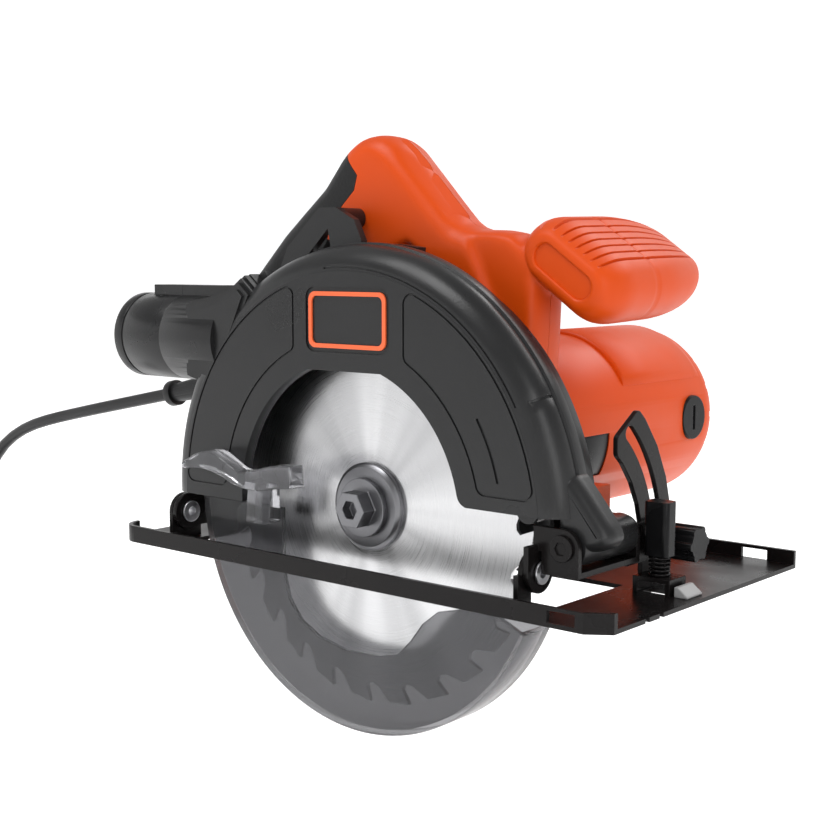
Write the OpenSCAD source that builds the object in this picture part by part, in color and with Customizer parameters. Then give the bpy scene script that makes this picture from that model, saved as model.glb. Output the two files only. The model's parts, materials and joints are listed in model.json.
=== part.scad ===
// Corded circular saw with a pendulum guard, a D handle, a side handle and a tilting shoe.
// X points forward, Y from the blade towards the motor, Z up; the origin is the centre of
// the main grip. The sub-parts are drawn about the arbor, with the blade in the plane y = 0.

/* [Blade] */
// Blade diameter
blade_d = 190; // [184:1:190]
// Blade thickness at the body
blade_t = 2; // [1.6:0.1:2]
// Number of teeth
blade_teeth = 24; // [18:1:40]
// Radius of the clamping flanges
flange_r = 21; // [18:1:21]

/* [Guards] */
// Outer radius of the upper guard
guard_r = 124; // [122:1:124]
// Radius of the window in the upper guard
window_r = 69; // [67:1:69]
// Thickness of the guard walls
guard_wall = 2.5; // [2:0.1:3]
// Outer radius of the swinging lower guard
lower_r = 107; // [106:1:110]

/* [Motor] */
// Outer radius of the motor housing
motor_r = 46.5; // [46.5:0.5:48]
// Distance from the blade to the far end of the motor housing
motor_end = 217; // [212:1:220]
// Gear module
gear_m = 1.25; // [1.25:0.05:1.25]
// Teeth on the output gear
gear_teeth = 41; // [41:1:41]
// Teeth on the armature's pinion
pinion_teeth = 16; // [16:1:16]

/* [Handles] */
// Width of the D handle
handle_w = 34; // [32:0.5:34]
// Width of the side handle's oval section
aux_w = 60; // [56:1:60]
// Thickness of the side handle's oval section
aux_t = 32; // [30:1:33]

/* [Shoe] */
// Length of the shoe
shoe_l = 301; // [296:1:302]
// Width of the shoe
shoe_w = 166; // [160:1:170]
// Sheet thickness of the shoe
shoe_t = 2; // [1.5:0.5:2]
// Deepest cut
cut_depth = 65; // [62:1:65]

/* [Dust port] */
// Outer radius of the dust sleeve
sleeve_r = 22.5; // [22:0.5:22.5]
// Inner radius of the dust sleeve
sleeve_bore = 19; // [18:0.5:19.5]

/* [Cord] */
// Diameter of the mains cord
cord_d = 7; // [6.5:0.5:7.5]

/* [Hidden] */
$fn = 96;

// Where the arbor lies from the origin
arbor = [70, -40, -118];
// Motor axis, from the two gears' pitch radii
motor_dist = gear_m * (gear_teeth + pinion_teeth) / 2;
motor_x = motor_dist * cos(60);
motor_z = motor_dist * sin(60);
// Faces of the upper guard, across Y
face_y = -20;
back_y = 14;
// Shoulder of the upper guard: its bend, and the radius where the bend starts
guard_bend = 13.2;
bend_r = guard_r - 0.8 - guard_bend;
// Panels on the near face of the upper guard
panel_outer = 109.5;
panel_inner = 80.5;
// Lower right end of the window in the guard, and the rounding there
window_end = 10;
corner_r = 6;
corner_at = [sqrt(pow(window_r + corner_r, 2) - pow(window_end + corner_r, 2)), window_end + corner_r];
// Height of the dust neck over the arbor, and of the rail along its top
neck_z = 76;
rail_z = 103;
// Sole of the shoe
sole_z = cut_depth - blade_d / 2;
shoe_x = -147.5;
shoe_y = -35.3;
flange_h = 8.5;
// Depth pivot along Y, and the arc that the depth bolt follows
pivot_x = 120;
pivot_z = -2;
arc_r = 200;
arc_travel = 34;
// Bevel pivot along X, and the slot that the bevel bolt follows
bevel_y = -14;
bevel_z = -14;
slot_r = 73;
bolt_at = 4;
bevel_travel = 45;
// Where the brushes lie along Y
brush_y = 189;
// Gear case: its radius about the spindle, and its screws
case_r = 29;
case_screws = [[33, 12], [-33, 12], [-33, -12], [33, -12]];
// Handle
handle_y = 23.5;
seam_y = handle_y + handle_w / 2;
grip_slope = 40.9;
grip_edge = [-62, 102];
// Side handle: how far its oval leans, and the length of its rounded far end
aux_tilt = 35;
aux_taper = 62;
// Screw that clamps the rip fence, and the height of the fence bar
fence_x = 132.75;
fence_y = 40;
fence_h = 5;
// Fits
play = 0.05;
// Cord: where it leaves the strain relief and how it runs to the coil
surface_z = -185;
cord_route = [[-146, 40.5, 48], [-170, 40.5, 43.4], [-200, 40.5, 37.6], [-230, 40.5, 31.8],
  [-260, 40.5, 26], [-290, 40.5, 20], [-320, 40.5, 13.5], [-345, 40.5, 6], [-368, 40.5, -6],
  [-386, 40.5, -24], [-397, 40.5, -48], [-402, 40.5, -75], [-404, 40.5, -105],
  [-407, 41, -132], [-415, 48, -157], [-430, 56, -174.5], [-449, 57, -180.5]];
// Middle of the coil's base, and the radius at the middle of its turns
coil_at = [-443, 8, surface_z + 1];
coil_r = 42;
// Where the plug lies on the coil, from the coil's middle
plug_at = [25, -31];

// ---- helpers ----

module along_y(y0, y1) translate([0, y1, 0]) rotate([90, 0, 0]) linear_extrude(y1 - y0) children();
module along_x(x0, x1) translate([x0, 0, 0]) rotate([90, 0, 90]) linear_extrude(x1 - x0) children();
module rod_y(r, y0, y1, x = 0, z = 0)
  translate([x, y0, z]) rotate([-90, 0, 0]) cylinder(r = r, h = y1 - y0);
module rod_x(r, x0, x1, y = 0, z = 0)
  translate([x0, y, z]) rotate([0, 90, 0]) cylinder(r = r, h = x1 - x0);
// Turns a drawing of (radius, y) points about the Y axis
module turned(points, x = 0, z = 0)
  translate([x, 0, z]) rotate([90, 0, 0]) rotate_extrude() polygon([for (p = points) [p[0], -p[1]]]);
module block(low, high) translate(low) cube(high - low);
module rounded(low, high, r) {
  translate([low[0] + r, low[1]]) square([high[0] - low[0] - 2 * r, high[1] - low[1]]);
  translate([low[0], low[1] + r]) square([high[0] - low[0], high[1] - low[1] - 2 * r]);
  for (x = [low[0] + r, high[0] - r], y = [low[1] + r, high[1] - r]) translate([x, y]) circle(r);
}
module ring(outer, inner) difference() { circle(outer); circle(inner); }
// A wedge from angle a to angle b
module wedge(a, b, r = 400)
  polygon([[0, 0], [r * cos(a), r * sin(a)], [r * cos((a + b) / 2), r * sin((a + b) / 2)],
    [r * cos(b), r * sin(b)]]);
// A curved slot or strip with round ends
module arc_slot(r, half, a, b) {
  intersection() { ring(r + half, r - half); wedge(a, b); }
  for (t = [a, b]) translate([r * cos(t), r * sin(t)]) circle(half);
}
// Gear outline with straight-sided teeth
module gear_outline(teeth, width = 0.43, shift = 0) {
  pitch = gear_m * teeth / 2;
  step = 360 / teeth;
  tip = pitch + 0.75 * gear_m;
  root = pitch - 1.1 * gear_m;
  polygon([for (i = [0 : teeth - 1], c = [[root, -0.62], [tip, -0.24], [tip, 0.24], [root, 0.62]])
    let (t = shift + (i + c[1] * width) * step) c[0] * [cos(t), sin(t)]]);
}

// ---- guards ----

// Round the outer edge of the near shell: the profile's bend at a radius b, from angle a to c
function bend_arc(b, a, c, steps = 9) = [for (i = [0 : steps]) let (t = a + (c - a) * i / steps)
  [bend_r + b * sin(t), face_y + guard_bend - b * cos(t)]];
module guard_shoulder() {
  lip_y = face_y + guard_bend;
  turned(concat([[bend_r - 3, face_y]], bend_arc(guard_bend, 0, 90),
    [[guard_r - 1.7, lip_y + 0.2], [guard_r - 1.7, lip_y + 0.8], [guard_r, lip_y + 1.4],
      [guard_r, 0], [guard_r - guard_wall - 0.8, 0]],
    bend_arc(guard_bend - guard_wall, 90, 0), [[bend_r - 3, face_y + guard_wall]]));
}
// Groove across the shoulder, where the two moulding halves meet
module shoulder_seam() intersection() {
  turned(concat(bend_arc(guard_bend + 1, 38, 92), bend_arc(guard_bend - 0.8, 92, 38)));
  along_y(face_y, 0) wedge(28.6, 29.2);
}
// Raised panels on the near face, each with a groove round it
module panel_left() offset(r = 4) offset(delta = -4) intersection() {
  ring(panel_outer, panel_inner);
  translate([-132, 4]) square([100, 130]);
}
module panel_right() offset(r = 4.5) offset(delta = -4.5) intersection() {
  ring(panel_outer, panel_inner);
  translate([37, 16.5]) square([100, 100]);
}
module groove_round(w = 1) difference() {
  offset(delta = w / 2) children();
  offset(delta = -w / 2) children();
}
module face_grooves() {
  along_y(face_y - 1, face_y + 0.8) {
    groove_round() panel_left();
    groove_round() panel_right();
    rounded([-23.5, 73.5], [28.5, 103.5], 5);
    arc_slot(92.3, 0.7, 14.3, 31.7);
  }
  along_y(face_y - 1, face_y + 0.9) intersection() { ring(113.1, 112.3); wedge(29.2, 96); }
}
module below_guard() {
  block([-140, face_y - 5, -140], [140, 30, -3]);
  block([0, face_y - 5, -140], [140, 30, window_end]);
}
// Flat cheek on the near side of the dust neck, which runs up into the shoulder
module neck_cheek() for (layer = [[0, 6], [1.2, 3.4], [3, 1.6], [5.5, 0.5], [9, 0]])
  along_y(face_y + layer[0], 0) offset(delta = -layer[1])
    polygon([[-114, 56], [-114, 95], [-100, 97.5], [-88, 100], [-79, 103.5], [-71, 109], [-60, 100],
      [-85, 50]]);
// Fillet between the rail and the shoulder
module rail_fillet() along_y(-6, 0)
  polygon([[-98, 98], [-98, rail_z], [-88, 103.3], [-80, 104.3], [-73, 106.6], [-66, 110.5], [-60, 104]]);
// Rounds the window's corner by its lower right end
module window_corner() {
  from = 180 + atan2(corner_at[1], corner_at[0]);
  polygon(concat([[62, window_end - 1], corner_at * (window_r - 1) / (window_r + corner_r)],
    [for (i = [0.5 : 1 : 6]) let (t = from + (270 - from) * i / 7) corner_at + corner_r * [cos(t), sin(t)]],
    [[corner_at[0], window_end - 1]]));
}
// Space inside the shoulder, which the neck leaves free
module guard_core() turned(concat([[0, face_y + 1.2]], bend_arc(guard_bend - 1.2, 0, 90),
  [[guard_r - 2, 30], [0, 30]]));
// Foot at the lower end of the shoulder, which runs out past the pivot barrel
module guard_foot() for (layer = [[-12.3, 5], [-11.2, 3], [-9.4, 1.3], [-7, 0.4], [-4.5, 0]])
  along_y(layer[0], 0) offset(delta = -layer[1]) offset(r = 3.5, $fn = 32) offset(delta = -3.5)
    polygon([[113, -3], [128, -3.4], [136, -1.4], [139.5, 3], [136, 9], [129.5, 17], [122, 26], [113, 28]]);
module upper_guard() {
  window_top = 65;
  color([0.2, 0.2, 0.21]) difference() {
    union() {
      difference() {
        union() {
          guard_shoulder();
          along_y(face_y, face_y + guard_wall) difference() {
            circle(guard_r - 13);
            intersection() { circle(window_r); translate([-90, -140]) square([180, 140 + window_top]); }
          }
          along_y(face_y, face_y + 6) difference() {
            intersection() { circle(window_r + 2); translate([-90, -140]) square([180, 142 + window_top]); }
            intersection() { circle(window_r); translate([-90, -140]) square([180, 140 + window_top]); }
          }
        }
        below_guard();
      }
      difference() {
        union() {
          rod_x(sleeve_r, -128, -88, 0, neck_z);
          block([-128, -6, neck_z + 18], [-78, 6, rail_z]);
          neck_cheek();
          rail_fillet();
        }
        guard_core();
      }
      rod_y(9, -12.3, 28.5, pivot_x, pivot_z);
      rod_y(5.5, face_y + 2, -4, 103.5, window_end + 2);
      guard_foot();
    }
    rod_x(17, -130, -80, 0, neck_z);
    rod_y(4 + play, -13, 29, pivot_x, pivot_z);
    face_grooves();
    shoulder_seam();
    along_y(face_y - 1, 0) window_corner();
  }
}
module guard_back() {
  rim_r = guard_r - 6.5;
  color([0.13, 0.13, 0.14]) difference() {
    union() {
      difference() {
        union() {
          along_y(back_y - 3, back_y) ring(rim_r, 30);
          along_y(0.2, back_y) ring(rim_r, rim_r - guard_wall);
        }
        block([-140, -1, -140], [140, 30, -16]);
        block([-140, -1, -140], [-95, 30, -3]);
        block([95, -1, -140], [140, 30, 10]);
      }
      rod_y(8, back_y - 0.5, back_y + 1.8, pivot_x - arc_r, pivot_z);
      difference() {
        along_y(4, 8) polygon([[-75, 92], [-60, 122], [-38, 141], [-27, 141], [-15, 135], [-10, 125],
          [-10, 112], [-40, 100]]);
        along_y(3, 9) polygon([[-46, 118], [-32, 131], [-30, 121]]);
        rod_y(rim_r - 1, 3, 9);
      }
      rod_y(5, 7, handle_y - 0.1, -30, 136);
      along_y(8, 14) intersection() { ring(rim_r + 6, rim_r - 1); wedge(80, 92); }
    }
    rod_y(3, 0, 20, pivot_x - arc_r, pivot_z);
    rod_x(17, -130, -80, 0, neck_z);
    for (p = case_screws) rod_y(1.8, 5, 20, p[0], p[1]);
  }
}
module guard_screws() {
  color([0.6, 0.6, 0.62]) for (p = case_screws) {
    rod_y(1.7, 10.9, 16.9, p[0], p[1]);
    difference() {
      rod_y(3, 9.2, 10.95, p[0], p[1]);
      rod_y(1.4, 8, 10, p[0], p[1], $fn = 6);
    }
  }
}
module dust_sleeve() {
  end_x = -165;
  color([0.18, 0.18, 0.19]) difference() {
    union() {
      rod_x(sleeve_r, end_x, -128.1, 0, neck_z);
      block([end_x + 14, -6, neck_z + 18], [-128.1, 6, rail_z]);
    }
    rod_x(sleeve_bore, end_x - 1, -120, 0, neck_z);
    difference() {
      rod_x(sleeve_r + 1, end_x + 6, end_x + 7.2, 0, neck_z);
      rod_x(sleeve_r - 0.8, end_x, -120, 0, neck_z);
    }
  }
}
module badge_plate()
  color([0.85, 0.3, 0.15]) along_y(face_y - 0.2, face_y + 0.8) difference() {
    rounded([-21.5, 75.5], [26.5, 101.5], 4);
    rounded([-19.5, 77.5], [24.5, 99.5], 2.8);
  }
module lower_sector() difference() {
  translate([-130, -130]) square([260, 125]);
  wedge(-24, 10);
}
module lower_guard() {
  near_y = -12;
  far_y = 8;
  color([0.45, 0.45, 0.47, 0.6]) difference() {
    union() {
      along_y(near_y, near_y + guard_wall) intersection() {
        difference() {
          circle(lower_r - 1);
          offset(r = 8, $fn = 48) offset(delta = -8)
            polygon([[-49, 40], [-49, -36], [-45, -50], [-37, -59.5], [-25, -65.5], [-7, -69], [14, -68],
              [26, -65], [34, -57], [41, -48], [50, -41], [62, -38], [150, -36], [150, 40]]);
        }
        lower_sector();
      }
      along_y(5, far_y) {
        intersection() { circle(lower_r - 1); lower_sector(); }
        circle(33);
      }
      along_y(near_y, far_y)
        intersection() { ring(lower_r, lower_r - guard_wall); lower_sector(); }
    }
    rod_y(22 + play, 0, 20);
  }
}
module retract_lever() {
  color([0.6, 0.6, 0.62, 0.6]) {
    along_y(-22.5, -12) polygon([[-62, -11.9], [-50, -11.9], [-50, 8], [-60, 8]]);
    along_y(-33, -22.5) polygon([[-100, 12], [-101, 17], [-88, 21], [-77, 22.5], [-68, 19], [-59, 15],
      [-22, 20], [-22, 9], [-45, 6], [-60, 7], [-72, 11], [-86, 13]]);
  }
}
module guard_spring()
  color([0.7, 0.7, 0.7]) for (y = [9.3, 10.9])
    rotate([-90, 0, 0]) translate([0, 0, y]) rotate_extrude() translate([26.5, 0]) circle(0.75, $fn = 16);

// ---- blade and drive ----

module blade() {
  r = blade_d / 2;
  step = 360 / blade_teeth;
  tooth = [[r, 0], [r - 7.5, -0.12], [r - 9.3, -0.04], [r - 9.5, 0.08], [r - 8, 0.22], [r - 1.2, 0.5]];
  color([0.8, 0.8, 0.82]) along_y(-blade_t / 2, blade_t / 2) difference() {
    polygon([for (i = [0 : blade_teeth - 1], p = tooth)
      let (t = (i + p[1]) * step) p[0] * [cos(t), sin(t)]]);
    circle(8);
  }
}
module inner_flange()
  color([0.5, 0.5, 0.5]) difference() {
    union() {
      rod_y(flange_r, blade_t / 2, 4);
      rod_y(7.95, -blade_t / 2 + 0.2, 2);
    }
    rod_y(6.02, -3, 5);
  }
module outer_flange()
  color([0.45, 0.45, 0.46]) difference() {
    turned([[4.1, -5], [flange_r - 2, -5], [flange_r, -3.4], [flange_r, -blade_t / 2],
      [4.1, -blade_t / 2]]);
    rod_y(4.1, -7, 0);
  }
module arbor_bolt()
  color([0.4, 0.4, 0.41]) {
    rod_y(14, -8, -5);
    difference() {
      rod_y(9.2, -16, -8, $fn = 6);
      rod_y(4.6, -17, -11, $fn = 6);
    }
    rod_y(4, -5, 18);
  }
module spindle()
  color([0.65, 0.65, 0.66]) difference() {
    union() {
      rod_y(6, -0.5, 37);
      rod_y(4, 36.5, 44.2);
      difference() {
        rod_y(14.5, 18, 21.5);
        for (i = [0 : 3]) rotate([0, 90 * i, 0]) block([10.5, 17, -2.6], [15.5, 22, 2.6]);
      }
    }
    rod_y(4 + play, -1, 20);
  }
module output_gear()
  color([0.55, 0.55, 0.5]) along_y(22, 34) difference() {
    gear_outline(gear_teeth, 0.43, 60);
    circle(6.02);
  }
module front_spindle_bearing() color([0.7, 0.7, 0.72]) along_y(6, back_y) ring(14, 6.03);
module rear_spindle_bearing() color([0.7, 0.7, 0.72]) along_y(37.4, 44.4) ring(11, 4.03);
module case_outline() {
  circle(case_r);
  translate([motor_x, motor_z]) circle(41);
}
module gear_case() {
  color([0.62, 0.63, 0.64]) difference() {
    union() {
      along_y(back_y + 0.1, 17) {
        case_outline();
        intersection() { circle(38.5); translate([-50, -case_r]) square([100, 100]); }
      }
      along_y(16.9, 36) case_outline();
      rod_y(22, 4.4, back_y + 0.2);
    }
    along_y(17, 37) { circle(27.2); translate([motor_x, motor_z]) circle(12.2); }
    rod_y(14.02, 6, 18);
    rod_y(10, 4, 7);
    rod_x(2 + play, -44, -20, 19.5, 0);
    for (p = case_screws) rod_y(1.8, 5, 20, p[0], p[1]);
  }
}
module gear_case_cover() {
  color([0.55, 0.56, 0.57]) difference() {
    union() {
      along_y(36.1, 38.5) case_outline();
      rod_y(15, 38, 46);
      rod_y(41, 38, 46, motor_x, motor_z);
    }
    rod_y(11.02, 36, 44.5);
    rod_y(11.02, 39, 47, motor_x, motor_z);
    rod_y(6, 36, 47, motor_x, motor_z);
  }
}
module spindle_lock()
  color([0.1, 0.1, 0.1]) {
    rod_x(2, -50, -19, 19.5, 0);
    rod_x(6.5, -53, -47, 20.5, 0);
  }
module armature_shaft()
  color([0.68, 0.68, 0.7]) {
    rod_y(4, 21, 213.4, motor_x, motor_z);
    translate([motor_x, 0, motor_z]) along_y(21.5, 34.5)
      gear_outline(pinion_teeth, 0.43, 240 + 180 / pinion_teeth);
  }
module armature_core()
  color([0.35, 0.33, 0.32]) difference() {
    union() {
      rod_y(25, 84, 146, motor_x, motor_z);
      color([0.72, 0.4, 0.2]) {
        rod_y(21, 74, 84, motor_x, motor_z);
        rod_y(21, 146, 158, motor_x, motor_z);
      }
    }
    rod_y(4, 70, 160, motor_x, motor_z);
  }
module commutator()
  color([0.75, 0.45, 0.25]) difference() {
    rod_y(13, brush_y - 9, brush_y + 9, motor_x, motor_z);
    rod_y(4, brush_y - 10, brush_y + 10, motor_x, motor_z);
    for (i = [0 : 11]) translate([motor_x, 0, motor_z]) rotate([0, 30 * i, 0])
      block([12, brush_y - 10, -0.4], [14, brush_y + 10, 0.4]);
  }
module cooling_fan()
  color([0.15, 0.15, 0.15]) difference() {
    translate([motor_x, 0, motor_z]) {
      rod_y(8, 51, 66);
      rod_y(38, 51, 53);
      for (i = [0 : 10]) rotate([0, 360 * i / 11, 0]) block([7, 52, -0.8], [38, 66, 0.8]);
    }
    rod_y(4, 50, 67, motor_x, motor_z);
  }
module armature_bearings()
  color([0.7, 0.7, 0.72]) translate([motor_x, 0, motor_z]) {
    along_y(39, 46) ring(11, 4.03);
    along_y(206, 213) ring(11, 4.03);
  }
module stator()
  color([0.4, 0.38, 0.36]) translate([motor_x, 0, motor_z]) along_y(82, 148) ring(44, 26);
module motor_housing() {
  r = motor_r;
  wall = 2.3;
  bend = 13;
  outer = [for (i = [0 : 6]) let (t = 15 * i) [r - bend + bend * cos(t), motor_end - bend + bend * sin(t)]];
  color([0.93, 0.35, 0.12]) difference() {
    union() {
      turned(concat([[r - wall, 24], [r, 24]], outer, [[0, motor_end], [0, motor_end - 3],
        [11.05, motor_end - 3], [11.05, 204], [14, 204], [14, motor_end - 4],
        [r - bend, motor_end - 4], [r - wall, motor_end - bend]]), motor_x, motor_z);
      block([55, 34, 2], [98, 54, 14]);
    }
    rod_y(r - wall, 20, 100, motor_x, motor_z);
    rod_y(case_r + 0.5, 20, 38.8);
    rod_y(15.3, 38, 46.3);
    for (s = [-1, 1]) rod_x(12, motor_x + s * 45 - 8, motor_x + s * 45 + 8, brush_y, motor_z);
    block([55, 80, 8.4], [70, 105.6, 30.1]);
    for (i = [0 : 17]) translate([motor_x, 0, motor_z]) rotate([0, 20 * i, 0])
      block([26, 208, -1.6], [60, 220, 1.6]);
  }
}
module side_vent_grille()
  color([0.08, 0.08, 0.08]) intersection() {
    block([56, 80.1, 8.5], [64.5, 105.5, 30]);
    along_y(75, 110) translate([motor_x, motor_z]) ring(motor_r - 0.5, motor_r - 2.3);
  }
module carbon_brushes()
  color([0.12, 0.12, 0.12]) for (s = [0, 1]) translate([motor_x, 0, motor_z]) mirror([s, 0, 0])
    block([13.4, brush_y - 4, -3.5], [33, brush_y + 4, 3.5]);
module brush_caps()
  color([0.07, 0.07, 0.07]) for (s = [0, 1]) translate([motor_x, 0, motor_z]) mirror([s, 0, 0])
    difference() {
      union() {
        rod_x(11.9, 43, 47, brush_y, 0);
        rod_x(7, 33.1, 43.1, brush_y, 0);
      }
      block([45.6, brush_y - 0.8, -6.5], [50, brush_y + 0.8, 6.5]);
    }

// ---- handles ----

module handle_outer()
  polygon([[71, 74], [72.5, 81], [73.5, 104], [71, 122], [64, 129], [37, 130], [29, 132.5], [4, 158],
    [-11, 172], [-17, 175.5], [-24, 177], [-35, 175], [-46, 167], [-58, 153], [-87, 130],
    [-110, 108], [-128, 88], [-141, 68], [-146, 55], [-146, 38], [-138, 31], [-26, 31], [-20, 60],
    [10, 78], [50, 60]]);
module handle_opening()
  offset(r = 6, $fn = 32) offset(delta = -6)
    polygon([[-97, 64], [-84, 82], [-43, 118], [-22, 120.5], [-9, 123.5], [1, 129], [10, 121], [19, 106],
      [24, 90], [22, 84], [-6, 78.5], [-22, 66]]);
module handle_shape() difference() {
  handle_outer();
  handle_opening();
  translate([motor_x, motor_z]) circle(motor_r + 0.3, $fn = 64);
}
// The pad's strip along the rear edge of the grip
module pad_zone() polygon([[-124, 92], [-52, 172], [-34, 150], [-60, 128], [-110, 80]]);
module pad_strip() intersection() {
  difference() { handle_outer(); offset(delta = -3) handle_outer(); }
  pad_zone();
}
// Places a drawing on the inner edge of the grip: x along the edge, y outwards from the grip
module at_grip_edge() translate(grip_edge) rotate(grip_slope) mirror([0, 1]) children();
screw_places = [[-132, 48], [-96, 47], [-30, 152], [42, 112], [-56, 46]];
module handle_cavity() {
  along_y(seam_y - 7.5, seam_y + 7.5) at_grip_edge() translate([-22, -22]) square([44, 26]);
  along_y(seam_y - 10, seam_y + 10.5) at_grip_edge() translate([-22, -33.5]) square([42, 12]);
  rod_y(2.3, seam_y - 10, seam_y + 10.5, -51.3, 121.1, $fn = 24);
  translate([-160, seam_y, 50.8]) rotate([0, 90 + 11, 0]) cylinder(r = 5.6, h = 34, $fn = 24);
}
module handle_left()
  color([0.93, 0.35, 0.12]) difference() {
    along_y(handle_y, seam_y - 0.05) difference() { handle_shape(); pad_zone_cut(); }
    handle_cavity();
    for (p = screw_places) rod_y(1.6, seam_y - 12, seam_y, p[0], p[1], $fn = 16);
  }
module pad_zone_cut() offset(delta = 0.05) pad_strip();
module handle_right()
  color([0.93, 0.35, 0.12]) difference() {
    along_y(seam_y + 0.05, handle_y + handle_w) difference() { handle_shape(); pad_zone_cut(); }
    handle_cavity();
    for (p = screw_places) {
      rod_y(1.6, seam_y, handle_y + handle_w, p[0], p[1], $fn = 16);
      rod_y(3.4, handle_y + handle_w - 3, handle_y + handle_w + 1, p[0], p[1], $fn = 24);
    }
    lock_hole();
  }
module lock_hole()
  along_y(seam_y + 10, handle_y + handle_w + 1) at_grip_edge() translate([0, -27]) circle(5.3, $fn = 32);
module grip_pad()
  color([0.1, 0.1, 0.1]) along_y(handle_y, handle_y + handle_w) pad_strip();
module handle_screws()
  color([0.55, 0.55, 0.56]) for (p = screw_places) {
    rod_y(1.4, seam_y - 11.5, handle_y + handle_w - 2.9, p[0], p[1]);
    difference() {
      rod_y(3.1, handle_y + handle_w - 2.95, handle_y + handle_w - 1, p[0], p[1]);
      rod_y(1.2, handle_y + handle_w - 2, handle_y + handle_w, p[0], p[1], $fn = 6);
    }
  }
module trigger()
  color([0.08, 0.08, 0.08]) along_y(seam_y - 6.8, seam_y + 6.8) difference() {
    at_grip_edge() polygon([[-18, -12], [-18, 4], [-14, 8.5], [-6, 9], [4, 7], [14, 4.5], [19, 1],
      [20, -5], [17, -12]]);
    trigger_pivot() circle(2 + play);
  }
module trigger_pivot() translate([-51.3, 121.1]) children();
module trigger_pin()
  color([0.6, 0.6, 0.6]) along_y(seam_y - 9.8, seam_y + 10.3) trigger_pivot() circle(2);
module switch_body()
  color([0.2, 0.2, 0.22]) along_y(seam_y - 9.5, seam_y + 6) at_grip_edge()
    translate([-20, -33]) square([38, 9.5]);
module lock_off_button()
  color([0.08, 0.08, 0.08]) along_y(seam_y + 10, handle_y + handle_w + 3.5) at_grip_edge()
    translate([0, -27]) circle(5);

// An oval across the side handle, a distance y from the blade
module side_section(y, half, r) translate([89.7 - 0.05 * y, y, 110 + 0.03 * y]) rotate([0, aux_tilt, 0])
  for (s = [-1, 1]) translate([s * half, 0, 0]) rotate([-90, 0, 0]) cylinder(r = r, h = 0.4, $fn = 32);
module side_handle() {
  half = (aux_w - aux_t) / 2;
  r = aux_t / 2;
  color([0.93, 0.35, 0.12]) difference() {
    hull() {
      for (p = [[27, 1.6, 7], [31, 0.8, 4], [36, 0.3, 1.8], [43, 0, 0]])
        side_section(p[0], half - p[1], r - p[2]);
      for (t = [0 : 15 : 75]) let (scale_by = pow(cos(t), 0.8))
        side_section(75 + aux_taper * sin(t), half * scale_by, r * scale_by);
    }
    along_y(20, handle_y + handle_w + 0.3) offset(delta = 0.3) handle_outer();
    hull() for (y = [24, 29]) side_section(y, half - 1, 6);
  }
}

// ---- depth and bevel adjustment ----

module about_pivot() translate([pivot_x, pivot_z]) children();
module about_bevel() translate([bevel_y, bevel_z]) children();
module depth_bracket() {
  half = 8;
  color([0.12, 0.12, 0.12]) difference() {
    union() {
      along_y(16, 18.5) {
        about_pivot() mirror([1, 0]) intersection() {
          ring(arc_r + half, arc_r - half);
          wedge(-6, arc_travel + 4);
        }
        polygon([[-118, -22], [-71, -22], [-71.5, -12], [-86, -6], [-118, -6]]);
      }
      along_x(-118, -115.5) {
        about_bevel() circle(9.5);
        translate([bevel_y, -22]) square([18.5 - bevel_y, 16]);
      }
    }
    along_y(15, 20) about_pivot() mirror([1, 0]) arc_slot(arc_r, 3.3, 0, arc_travel);
    along_x(-120, -110) about_bevel() circle(3.5 + play);
  }
}
module depth_bolt() color([0.55, 0.55, 0.56]) rod_y(2.98, 11.2, 28, pivot_x - arc_r, pivot_z);
module depth_lever() {
  x = pivot_x - arc_r;
  reach = 44;
  tilt = 20;
  color([0.08, 0.08, 0.08]) difference() {
    union() {
      rod_y(8.5, 19.2, 27, x, pivot_z);
      translate([x, 0, pivot_z]) rotate([0, -tilt, 0]) {
        block([-reach, 20.5, -4.5], [0, 25, 4.5]);
        rod_y(4.5, 20.5, 27, -reach);
      }
    }
    rod_y(3 + play, 18, 29, x, pivot_z);
  }
}
module bracket_ear() difference() {
  union() {
    translate([109.5, -14]) square([10.5, 20]);
    translate([pivot_x, -14]) square([8, 12]);
    about_pivot() circle(8);
  }
  about_pivot() circle(4.02);
}
module front_bracket() {
  color([0.16, 0.16, 0.16]) difference() {
    union() {
      along_y(-16, -13.5) bracket_ear();
      along_y(28.9, 31.4) bracket_ear();
      block([105.4, -16, -4.5], [112, -13.5, 6]);
      block([109.5, -16, -14], [128, 31.4, -11.5]);
      along_x(105.4, 107.9) difference() {
        union() {
          about_bevel() circle(9);
          translate([bevel_y - 9, bevel_z]) square([9.5, 12]);
        }
        about_bevel() circle(3.5 + play);
      }
      along_x(121, 123.4) difference() {
        union() {
          translate([28.9, -16.5]) square([26, 18]);
          bevel_bolt_place() circle(10.5);
        }
        bevel_bolt_place() circle(3.05);
      }
    }
    rod_y(4.02, -20, 40, pivot_x, pivot_z);
    rod_y(6.1, 31.4, 34, pivot_x, pivot_z);
  }
}
module bevel_bolt_place() about_bevel() rotate(bolt_at) translate([slot_r, 0]) children();
module front_pivot_pin()
  color([0.2, 0.2, 0.2]) {
    rod_y(4, -16.5, 33, pivot_x, pivot_z);
    difference() {
      rod_y(5.6, -17.5, -16.05, pivot_x, pivot_z);
      rod_y(3, -18, -16.4, pivot_x, pivot_z, $fn = 6);
    }
    rod_y(6, 31.45, 33, pivot_x, pivot_z);
  }
module bevel_bolt()
  color([0.3, 0.3, 0.3]) {
    along_x(115.2, 118.15) bevel_bolt_place() circle(6);
    along_x(115.2, 136) bevel_bolt_place() circle(3);
  }
module bevel_knob()
  color([0.07, 0.07, 0.07]) difference() {
    union() {
      along_x(123.6, 129) bevel_bolt_place() circle(5.6);
      along_x(128, 142) bevel_bolt_place() {
        circle(6.9);
        for (i = [0 : 5]) rotate(60 * i) translate([6.3, 0]) circle(2);
      }
    }
    along_x(120, 137) bevel_bolt_place() circle(3 + play);
  }

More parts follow.
